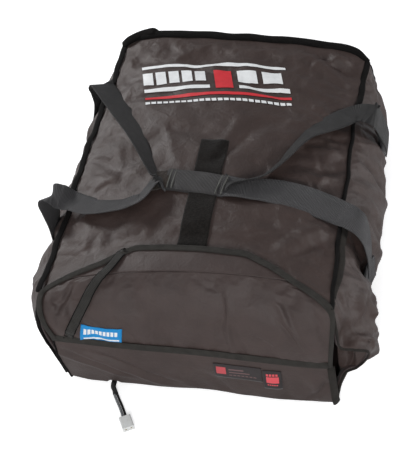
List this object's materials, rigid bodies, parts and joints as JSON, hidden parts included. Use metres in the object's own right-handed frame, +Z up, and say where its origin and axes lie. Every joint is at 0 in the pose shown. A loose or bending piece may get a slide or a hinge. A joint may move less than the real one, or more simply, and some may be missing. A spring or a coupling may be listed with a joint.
{
  "type": "portable blanket warmer",
  "caption": "Soft insulated and electrically heated carrying bag for warming blankets, with a front flap in stages, webbing handles and a short lead.",
  "frame": {"origin": "centre of the base, on the surface that the bag rests on", "axes": "+X across the bag to the right as seen from its front flap, +Y from the front flap to the rear, +Z up"},
  "size_m": [0.6108, 0.7766, 0.26],
  "materials": {
    "cover_cloth": "coated polyester, soft sheen",
    "insulation": "matt fibre batting",
    "liner_film": "wipe-clean coated cloth",
    "black_binding": "woven tape",
    "grey_binding": "woven tape",
    "webbing": "ribbed woven webbing",
    "grip_cloth": "ribbed woven webbing, stitched",
    "loop_pile": "brushed loop pile",
    "hook_face": "moulded hooks",
    "blue_woven": "woven label",
    "dark_woven": "woven label",
    "heater_film": "carbon-fibre heating sheet in film",
    "device_plastic": "moulded",
    "inner_wire": "silicone-covered wire",
    "black_rubber": "moulded",
    "sleeve_vinyl": "shrink sleeve",
    "grey_jacket": "cable jacket",
    "grey_rubber": "moulded",
    "black_jacket": "cable jacket",
    "white_plastic": "moulded, semi-gloss",
    "pin_metal": "plated contact"
  },
  "bodies": {
    "bag": {"base_cover": "cover_cloth", "right_gusset_cover": "cover_cloth", "left_gusset_cover": "cover_cloth", "rear_cover": "cover_cloth", "top_cover": "cover_cloth", "base_pad": "insulation", "right_gusset_pad": "insulation", "left_gusset_pad": "insulation", "rear_pad": "insulation", "top_pad": "insulation", "base_liner": "liner_film", "right_gusset_liner": "liner_film", "left_gusset_liner": "liner_film", "rear_liner": "liner_film", "top_liner": "liner_film", "base_seam_binding": "black_binding", "flap_hinge_tape": "black_binding", "gusset_mouth_bindings": "black_binding", "rear_corner_bindings": "black_binding", "top_mouth_binding": "black_binding", "top_seam_binding": "black_binding", "rear_side_webbings": "webbing", "front_side_webbings": "webbing", "front_left_strap": "webbing", "front_right_strap": "webbing", "rear_left_strap": "webbing", "rear_right_strap": "webbing", "loop_strip": "loop_pile", "heater_pad": "heater_film", "thermostat": "device_plastic", "thermal_cutoff": "device_plastic", "internal_lead": "inner_wire", "lead_grommet": "black_rubber", "black_boot": "black_rubber", "lead_sleeve": "sleeve_vinyl", "grey_lead": "grey_jacket", "grey_boot": "grey_rubber", "black_lead": "black_jacket", "connector_housing": "white_plastic", "contact_sockets": "pin_metal"},
    "front_flap": {"front_wall_cover": "cover_cloth", "front_wall_pad": "insulation", "front_wall_liner": "liner_film", "front_wall_edge_bindings": "black_binding", "fold_tape": "grey_binding", "care_label": "dark_woven", "heat_tag": "dark_woven"},
    "lid": {"lid_cover": "cover_cloth", "lid_pad": "insulation", "lid_liner": "liner_film", "lid_edge_bindings": "grey_binding", "blue_label": "blue_woven", "pull_strap": "webbing"},
    "tongue": {"tongue_cover": "cover_cloth", "tongue_binding": "grey_binding", "hook_strip": "hook_face"},
    "grip": {"grip_wrap": "grip_cloth", "grip_webbings": "webbing"}
  },
  "joints": [
    {"name": "front_flap_drop", "type": "hinge", "parent": "bag", "child": "front_flap", "pos_m": [0, -0.331, 0.004], "axis": [1, 0, 0], "range_deg": [0, 75]},
    {"name": "lid_fold", "type": "hinge", "parent": "front_flap", "child": "lid", "pos_m": [0, -0.331, 0.127], "axis": [1, 0, 0], "range_deg": [0, 40]},
    {"name": "tongue_lift", "type": "hinge", "parent": "lid", "child": "tongue", "pos_m": [0, -0.262, 0.23], "axis": [0.9988, 0, 0.0485], "range_deg": [0, 85], "deforming": ["pull_strap"]},
    {"name": "grip_lift", "type": "slide", "parent": "bag", "child": "grip", "axis": [0, 0, 1], "range_m": [0, 0.12], "deforming": ["front_left_strap", "front_right_strap", "rear_left_strap", "rear_right_strap"]}
  ]
}
